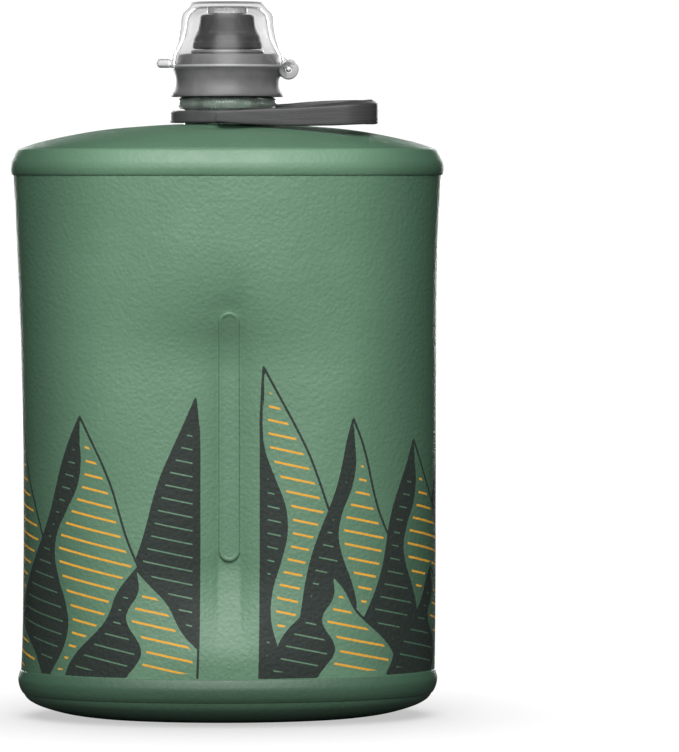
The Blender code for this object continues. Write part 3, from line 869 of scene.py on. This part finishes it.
stem = revolve(
    "spout_skin",
    rounded(
        (
            (4.8, 209.2), (5.1, 208.9), (5.1, 206.9), (4.5, 206.6), (4.5, 205.2), (5.1, 204.9), (5.1, 202.5),
            (10.9, 202.45), (11.15, 202.1), (11.15, 201.5), (5.3, 201.5), (5.2, 198.7), (6.6, 198.6),
            (6.6, 197.6), (3.2, 197.6), (3.2, 209.2),
        ),
        0.22,
    ),
    112,
)
seal = revolve(
    "seal_skin",
    [(5.45 + 0.5 * math.cos(a), 205.9 - 0.5 * math.sin(a)) for a in np.arange(16) * math.tau / 16],
    96,
)
nozzle = revolve(
    "nozzle_skin",
    rounded(
        (
            (7.5, 213.2), (8.15, 212.7), (8.3, 211.6), (8.45, 210.4), (8.75, 208.9), (9.35, 207.6), (9.95, 206.7),
            (10.15, 205.8), (10.2, 205.05), (10.5, 204.6), (10.5, 203.2), (10.2, 202.8), (6.6, 202.8),
            (6.3, 203.1), (6.3, 209.6), (6.9, 209.8), (6.9, 211.4), (6.3, 211.6), (2.6, 211.6), (2.3, 211.9),
            (2.3, 212.9), (2.6, 213.2),
        ),
        (0.45, 0.5, 1.0, 1.0, 1.2, 1.2, 1.0, 0.5, 0.2, 0.3, 0.35, 0.3, 0.2, 0.2, 0.2, 0.2, 0.2, 0.2, 0.2, 0.2, 0.2, 0.2),
        4,
    ),
    144,
)
tools = []
for side in (-1, 1):
    low, high = sorted((side * 7.35, side * 14.0))
    tools.append(("DIFFERENCE", solid_box((-12, low, 207.4), (12, high, 215), bevel=0.5)))
nozzle = carve(nozzle, tools, 32.0)
valve = revolve(
    "valve_skin",
    rounded(
        (
            (0.0, 210.7), (2.0, 210.75), (4.2, 211.2), (6.2, 211.2), (6.5, 210.9), (6.5, 210.3), (6.2, 210.0),
            (4.2, 210.0), (2.0, 209.6), (0.0, 209.55),
        ),
        0.3,
    ),
    96,
    closed=False,
)

# ---------------------------------------------------------------- clear cover
cover = revolve(
    "cover_skin",
    rounded(
        (
            (0.0, 217.0), (10.3, 217.0), (11.5, 216.6), (13.9, 213.9), (14.3, 212.6), (14.55, 209.5),
            (15.2, 205.8), (16.2, 203.0), (17.0, 201.0), (17.3, 198.6), (17.32, 198.0), (17.55, 197.75),
            (17.55, 197.2), (16.55, 197.1), (16.4, 199.0), (16.0, 201.2), (14.9, 203.4), (13.5, 206.2),
            (12.75, 209.5), (12.45, 212.0), (11.9, 213.6), (10.2, 215.2), (9.0, 215.55), (0.0, 215.55),
        ),
        (0, 0.9, 1.0, 1.2, 1.0, 1.4, 1.4, 1.4, 0.9, 0.9, 0.2, 0.2, 0.25, 0.2, 0.8, 0.9, 1.2, 1.4, 1.2, 0.7, 0.8, 0.7, 0.4, 0),
        5,
    ),
    160,
    closed=False,
)


def tapered(points, radii, flat=1.0, segments=24):
    """A tube along the points whose radius changes, slimmer by flat in the direction away from Z."""
    curve = np.array(flowing(points, 6))
    widths = np.interp(np.linspace(0, 1, len(curve)), np.linspace(0, 1, len(radii)), radii)
    ring_list = []
    for k, (p, r) in enumerate(zip(curve, widths)):
        ahead = curve[min(k + 1, len(curve) - 1)] - curve[max(k - 1, 0)]
        ahead /= np.linalg.norm(ahead)
        across = np.cross(ahead, (0, 0, 1.0))
        across /= np.linalg.norm(across)
        up = np.cross(across, ahead)
        ring_list.append([
            p + flat * r * math.cos(a) * across + r * math.sin(a) * up
            for a in np.arange(segments) * math.tau / segments
        ])
    pts = [q for ring_points in ring_list for q in ring_points]
    n = segments
    faces = [tuple(range(n)), tuple((len(ring_list) - 1) * n + i for i in reversed(range(n)))]
    for k in range(len(ring_list) - 1):
        for i in range(n):
            j = (i + 1) % n
            faces.append((n * k + i, n * k + j, n * k + n + j, n * k + n + i))
    return tidy(new_mesh_object("tool", pts, faces), 40)


tab = solid_box((-21.4, -5.6, 197.15), (-16.8, 5.6, 199.7), bevel=1.15, segments=5)
tools = [("UNION", tab)]
for side in (-1, 1):
    y = side * 3.6
    tools += [
        ("UNION", tapered(
            [(13.2, side * 11.0, 201.0), (15.1, side * 8.9, 200.3), (16.9, side * 6.4, 199.0), (18.1, side * 4.3, 197.6)],
            (0.35, 0.95, 1.5, 1.9), flat=0.55,
        )),
        ("UNION", solid_box((16.75, y - 0.85, 197.75), (20.1, y + 0.85, 199.05), bevel=0.25)),
        ("UNION", solid_disc(3.0, 2.0, (18.6, y, 196.6), bevel=0.4)),
    ]
tools += [
    ("DIFFERENCE", solid_disc(2.8, 5.1, HINGE)),
    ("DIFFERENCE", solid_disc(1.1, 12.0, HINGE, segments=32)),
]
cover = carve(cover, tools, 40.0)
plug = revolve(
    "plug_skin", rounded(((0.0, 215.7), (6.1, 215.7), (6.1, 213.5), (0.0, 213.5)), 0.45), 96, closed=False
)

# ---------------------------------------------------------------- materials
SAGE = lin(97, 134, 107)
SAGE_PALE = lin(103, 140, 113)
# painted shade: a darker green laid over the dome, base and bars in place of the shade on them
SAGE_PAINTED_SHADE = lin(58, 86, 68)
# painted shade: a darker green for the film's narrow sides, standing in for the light falling off there
SAGE_SIDE_SHADE = lin(59, 90, 71)
CHARCOAL = lin(34, 44, 39)
AMBER = lin(236, 172, 52)


def film_material(name, printed=False, painted_shade=0.0, grain=1.0):
    n = Nodes(name)
    rest = n.attribute("rest_mm", "Vector")
    cloud = n.noise(rest, 0.03, 3.0, 0.55)
    speck = n.noise(rest, 1.3, 2.0, 0.6)
    pebbles = n.tree.nodes.new("ShaderNodeTexVoronoi")
    pebbles.feature = "SMOOTH_F1"
    n.put(pebbles, "Vector", rest)
    pebbles.inputs["Scale"].default_value = 0.85
    color = n.mix(n.ramp(cloud, 0.3, 0.7), SAGE, SAGE_PALE)
    # painted shade: the colour is darkened by the given share, standing in for the shade on the downward-facing base
    # and the dim dome
    color = n.mix(painted_shade, color, SAGE_PAINTED_SHADE)
    color = n.mix(n.ramp(speck, 0.45, 0.8, 0.0, 0.10 * grain), color, lin(150, 184, 158))
    where = n.tree.nodes.new("ShaderNodeSeparateXYZ")
    n.put(where, 0, rest)
    # painted shade: the film's colour darkens towards its narrow sides, in place of the shade that falls there
    side = n.ramp(n.math("ABSOLUTE", where.outputs[0]), 32.0, 63.0, 0.0, 0.80)
    color = n.mix(side, color, SAGE_SIDE_SHADE)
    rough = n.ramp(n.noise(rest, 0.2, 3.0), 0.2, 0.8, 0.42, 0.50)
    if printed:
        arc = n.attribute("print_arc")
        height = where.outputs[2]
        dark_f, light_f = (n.attribute(a) for a in ("print_dark", "print_light"))
        ragged = n.math("MULTIPLY", n.math("SUBTRACT", n.noise(rest, 1.3, 2.0), 0.5), 0.2)
        dark = n.ramp(n.math("ADD", dark_f, ragged), 0.1, -0.1)
        nearest = 60.0
        for k in range(len(edge_rows)):
            off = n.math("ABSOLUTE", n.attribute("print_edge_%d" % k))
            nearest = off if k == 0 else n.math("MINIMUM", nearest, off)
        line = n.ramp(n.math("ADD", nearest, n.math("MULTIPLY", ragged, 0.6)), 0.44, 0.28)
        line = n.math("MULTIPLY", line, n.ramp(height, PRINT_FLOOR, PRINT_FLOOR + 0.15))
        across = n.math("ADD", height, n.math("MULTIPLY", arc, 8 * 4.05 / (GIRTH / 2)))

        def hatch(field, pitch, phase, width, margin):
            f = n.math("FRACT", n.math("DIVIDE", n.math("ADD", across, phase), pitch))
            away = n.math("MULTIPLY", n.math("ABSOLUTE", n.math("SUBTRACT", f, 0.5)), pitch)
            stripe = n.ramp(away, width / 2 + 0.09, width / 2 - 0.09)
            return n.math("MULTIPLY", stripe, n.ramp(field, -margin + 0.15, -margin - 0.15))

        amber = hatch(light_f, 4.05, 1.0, 0.66, 1.6)
        bare = hatch(dark_f, 4.05, 2.6, 0.42, 2.0)
        ink = n.mix(n.ramp(speck, 0.35, 0.75, 0.0, 0.25), CHARCOAL, lin(60, 70, 64))
        inked = n.math("MULTIPLY", n.math("MAXIMUM", dark, line), n.math("SUBTRACT", 1.0, bare))
        color = n.mix(amber, color, AMBER)
        color = n.mix(inked, color, ink)
        rough = n.math("ADD", rough, n.math("MULTIPLY", n.math("MAXIMUM", inked, amber), 0.22))
    grit = n.math("ADD", n.math("MULTIPLY", pebbles.outputs["Distance"], 0.8), n.math("MULTIPLY", speck, 0.5))
    normal = n.bump(grit, 0.7 * grain, 0.00022)
    normal = n.bump(n.noise(rest, 0.05, 1.0), 0.08, 0.0006, normal)
    shader = n.principled(color=color, rough=rough, normal=normal, spec=0.5)
    return n.finish(shader)


def moulded(name, color, rough=0.4, speckle=0.06, scale=2.2, spec=0.45, bump=0.12):
    n = Nodes(name)
    at = n.object_mm()
    grain = n.noise(at, scale, 3.0, 0.6)
    broad = n.noise(at, 0.12, 2.0)
    lighter = tuple(min(1.0, c * (1 + speckle * 4) + 0.004) for c in color[:3]) + (1.0,)
    darker = tuple(c * (1 - speckle * 2) for c in color[:3]) + (1.0,)
    tone = n.mix(n.ramp(broad, 0.3, 0.7), darker, lighter)
    tone = n.mix(n.ramp(grain, 0.4, 0.75, 0.0, 0.35), tone, lighter)
    normal = n.bump(grain, bump, 0.00012)
    r = n.ramp(broad, 0.3, 0.7, rough - 0.04, rough + 0.05)
    return n.finish(n.principled(color=tone, rough=r, normal=normal, spec=spec))


def strap_material():
    n = Nodes("strap_soft")
    at = n.attribute("along_mm", "Vector")
    lines = n.noise(n.stretched(at, (0.05, 3.4, 3.4)), 1.0, 3.0, 0.6)
    grain = n.noise(at, 2.4, 3.0, 0.6)
    tone = n.mix(n.ramp(lines, 0.35, 0.7), lin(57, 57, 58), lin(74, 74, 75))
    tone = n.mix(n.ramp(grain, 0.5, 0.8, 0.0, 0.4), tone, lin(96, 96, 97))
    normal = n.bump(lines, 0.2, 0.00025)
    normal = n.bump(grain, 0.15, 0.0001, normal)
    return n.finish(n.principled(color=tone, rough=0.46, normal=normal, spec=0.45))


def clear_material(name, tint, body, edge=0.8, start=0.62, haze=0.012, rough=0.14, shine=0.35, thick_from=None, thick=0.0, rim_below=None, rim=0.0, full=0.98):
    """Thin clear plastic: see-through face on, pale and glossy where it is seen along its wall. Past thick_from, in millimetres from the middle, and below rim_below it is solid plastic and looks denser."""
    n = Nodes(name)
    at = n.object_mm()
    smear = n.noise(at, 0.35, 3.0)
    facing = n.new("LayerWeight", Blend=0.5).outputs["Facing"]
    solid = n.math("ADD", n.ramp(facing, start, full, 0.0, edge), n.ramp(smear, 0.35, 0.8, haze, haze * 2.0))
    if thick_from is not None:
        where = n.tree.nodes.new("ShaderNodeSeparateXYZ")
        n.put(where, 0, at)
        solid = n.math("ADD", solid, n.ramp(n.math("ABSOLUTE", where.outputs[0]), thick_from, thick_from + 0.5, 0.0, thick))
        if rim_below is not None:
            solid = n.math("ADD", solid, n.ramp(where.outputs[2], rim_below + 0.25, rim_below, 0.0, rim))
    see = n.tree.nodes.new("ShaderNodeBsdfTransparent")
    see.inputs["Color"].default_value = tint
    normal = n.bump(smear, 0.05, 0.0003)
    wall = n.principled(color=n.mix(n.ramp(smear, 0.3, 0.7), body, tuple(c * 0.93 for c in body[:3]) + (1.0,)), rough=0.3, normal=normal, spec=0.5)
    mix = n.tree.nodes.new("ShaderNodeMixShader")
    n.put(mix, 0, n.math("MINIMUM", solid, 1.0))
    n.tree.links.new(see.outputs[0], mix.inputs[1])
    n.tree.links.new(wall, mix.inputs[2])
    gloss = n.tree.nodes.new("ShaderNodeBsdfGlossy")
    gloss.inputs["Roughness"].default_value = rough
    gloss.inputs["Color"].default_value = (1, 1, 1, 1)
    n.put(gloss, "Normal", normal)
    fresnel = n.new("Fresnel", IOR=1.48)
    top = n.tree.nodes.new("ShaderNodeMixShader")
    n.put(top, 0, n.math("MULTIPLY", fresnel.outputs[0], shine))
    n.tree.links.new(mix.outputs[0], top.inputs[1])
    n.tree.links.new(gloss.outputs[0], top.inputs[2])
    return n.finish(top.outputs[0])


wall_mat = film_material("film_printed", printed=True)
# painted shade: the dome, the base (most) and the bars are coloured darker, in place of the shade that falls on them
dome_mat = film_material("film_plain", painted_shade=0.58, grain=0.5)
rim_mat = film_material("film_weld", painted_shade=0.0, grain=0.45)
base_mat = film_material("film_base", painted_shade=0.8, grain=0.45)
bar_mat = film_material("film_bar", painted_shade=0.07, grain=0.8)
cap_mat = moulded("cap_satin", lin(106, 106, 106), 0.45, spec=0.34)
nozzle_mat = moulded("nozzle_satin", lin(57, 57, 58), 0.50, spec=0.18)
ring_mat = moulded("ring_soft", lin(68, 68, 69), 0.44, bump=0.2)
stem_mat = moulded("spout_satin", lin(112, 112, 112), 0.36)
seal_mat = moulded("seal_black", lin(26, 26, 27), 0.5)
gasket_mat = moulded("gasket_silicone", lin(190, 190, 186), 0.5)
valve_mat = moulded("valve_silicone", lin(176, 176, 172), 0.5)
neck_mat = clear_material("neck_clear", (0.80, 0.88, 0.83, 1), lin(176, 190, 180), edge=0.75, start=0.15, haze=0.30, rough=0.10, shine=0.9)
cover_mat = clear_material("cover_clear", (0.985, 0.985, 0.985, 1), lin(186, 186, 187), start=0.56, full=0.88, rough=0.27, shine=0.24, thick_from=17.7, thick=0.30, rim_below=197.8, rim=0.5)
plug_mat = clear_material("plug_clear", (0.94, 0.94, 0.94, 1), lin(200, 200, 200), edge=0.5, start=0.3, haze=0.26)

n = Nodes("pin_steel")
brush = n.noise(n.stretched(n.object_mm(), (3.0, 0.3, 3.0)), 1.0, 3.0)
pin_mat = n.finish(
    n.principled(
        color=n.mix(brush, lin(150, 150, 152), lin(225, 225, 228)), rough=n.ramp(brush, 0.3, 0.7, 0.18, 0.34), metal=0.9
    )
)

# ---------------------------------------------------------------- pieces onto bodies
PIECES = (
    (film, wall_mat, "bottle", "film", ("body_film",), True),
    (shoulder, dome_mat, "bottle", "film", ("shoulder_panel",), True),
    (shoulder_rim, rim_mat, "bottle", "weld", ("shoulder_rim",), True),
    (base, base_mat, "bottle", "film", ("base_panel",), True),
    (base_rim, base_mat, "bottle", "weld", ("base_rim",), True),
    (web, dome_mat, "bottle", "film", ("baffle_web",), True),
    (front_bar, bar_mat, "front_bar", "weld", ("front_weld_bar",), False),
    (back_bar, bar_mat, "back_bar", "weld", ("back_weld_bar",), False),
    (neck, neck_mat, "bottle", "neck_clear", ("neck_fitment",), False),
    (ring, ring_mat, "loop_ring", "loop_soft", ("bail_ring",), False),
    (strap, strap_material(), "loop_strap", "loop_soft", ("bail_strap",), False),
    (cap, cap_mat, "cap", "cap_grey", ("screw_cap",), False),
    (gasket, gasket_mat, "cap_rise", "seal_pale", ("cap_gasket",), False),
    (stem, stem_mat, "cap", "cap_grey", ("spout_base",), False),
    (seal, seal_mat, "cap", "seal_black", ("nozzle_seal",), False),
    (pin, pin_mat, "cap", "pin_steel", ("hinge_pin",), False),
    (nozzle, nozzle_mat, "nozzle", "nozzle_dark", ("nozzle",), False),
    (valve, valve_mat, "nozzle", "seal_pale", ("valve_disc",), False),
    (cover, cover_mat, "cover", "cover_clear", ("dust_cover",), False),
    (plug, plug_mat, "cover", "cover_clear", ("cover_plug",), False),
)
for obj, mat, body, slot_name, nodes, soft in PIECES:
    dress(obj, mat)
    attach(obj, body)
    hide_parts(*nodes)
    if soft:
        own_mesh(obj)
# the bars slide and also flatten, so that they stay on the film all the way
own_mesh(front_bar)
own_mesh(back_bar)

# ---------------------------------------------------------------- floor, light, camera
floor = new_mesh_object(
    "floor",
    [(x * 250.0, y * 250.0, -0.15) for y in range(-16, 17) for x in range(-16, 17)],
    [(j * 33 + i, j * 33 + i + 1, (j + 1) * 33 + i + 1, (j + 1) * 33 + i) for j in range(32) for i in range(32)],
)
n = Nodes("floor_paper")
at = n.object_mm()
fibre = n.noise(at, 0.3, 4.0)
path = n.tree.nodes.new("ShaderNodeLightPath")
seen = path.outputs["Is Camera Ray"]
paper = n.tree.nodes.new("ShaderNodeBsdfDiffuse")
n.put(paper, "Color", n.mix(seen, (0.09, 0.09, 0.09, 1), n.mix(fibre, (0.08, 0.08, 0.08, 1), (0.10, 0.10, 0.10, 1))))
glow = n.tree.nodes.new("ShaderNodeEmission")
glow.inputs["Color"].default_value = (1, 1, 1, 1)
# painted contact shadow: ambient occlusion dims the floor's glow close to the bottle, in place of the soft shadow under
# it
near = n.tree.nodes.new("ShaderNodeAmbientOcclusion")
near.samples = 12
near.inputs["Distance"].default_value = 0.06
far = n.tree.nodes.new("ShaderNodeVectorMath")
far.operation = "LENGTH"
n.put(far, 0, at)
glow_with_painted_shadow = n.math("MULTIPLY", n.ramp(far.outputs["Value"], 150.0, 900.0, 0.95, 1.03), n.ramp(near.outputs["AO"], 0.35, 1.0, 0.55, 1.0, smooth=False))
n.put(glow, "Strength", n.math("MULTIPLY", seen, glow_with_painted_shadow))
both = n.tree.nodes.new("ShaderNodeAddShader")
n.tree.links.new(paper.outputs[0], both.inputs[0])
n.tree.links.new(glow.outputs[0], both.inputs[1])
dress(floor, n.finish(both.outputs[0]))

scene = bpy.context.scene
world = bpy.data.worlds.new("studio")
world.use_nodes = True
scene.world = world
tree = world.node_tree
tree.nodes.clear()
out = tree.nodes.new("ShaderNodeOutputWorld")
back = tree.nodes.new("ShaderNodeBackground")
path = tree.nodes.new("ShaderNodeLightPath")
amount = tree.nodes.new("ShaderNodeMapRange")
amount.inputs["To Min"].default_value = 0.06
amount.inputs["To Max"].default_value = 1.05
tree.links.new(path.outputs["Is Camera Ray"], amount.inputs["Value"])
tree.links.new(amount.outputs[0], back.inputs["Strength"])
back.inputs["Color"].default_value = (1, 1, 1, 1)
tree.links.new(back.outputs[0], out.inputs["Surface"])


def softbox(name, place, target, width, height, power):
    light = bpy.data.lights.new(name, "AREA")
    light.shape = "RECTANGLE"
    light.size, light.size_y = width, height
    light.energy = power
    obj = bpy.data.objects.new(name, light)
    scene.collection.objects.link(obj)
    obj.location = place
    obj.rotation_euler = (Vector(target) - Vector(place)).to_track_quat("-Z", "Y").to_euler()
    obj.visible_camera = False
    return obj


softbox("key", (-0.04, -0.88, 1.0), (0, 0, 0.12), 0.95, 0.5, 17.2)
softbox("front", (-0.04, -1.3, 0.48), (0, 0, 0.14), 0.95, 0.45, 5.7)
# these two light only the far side
softbox("back_left", (-0.62, 1.85, 0.48), (0, 0, 0.1), 0.5, 0.9, 18.0)
softbox("back_right", (0.62, 1.85, 0.48), (0, 0, 0.1), 0.5, 0.9, 18.0)

camera = bpy.data.objects.new("camera", bpy.data.cameras.new("camera"))
scene.collection.objects.link(camera)
camera.data.sensor_fit = "AUTO"
camera.data.sensor_width = 36.0
camera.data.lens = 36.0 * 4770.0 / 752.0
camera.data.clip_end = 20.0
camera.location = (0.0, -1.45, 0.1707)
camera.rotation_euler = (math.radians(90 - 2.653), 0.0, math.radians(-1.345))
scene.camera = camera
scene.view_settings.view_transform = "Standard"
scene.view_settings.look = "None"
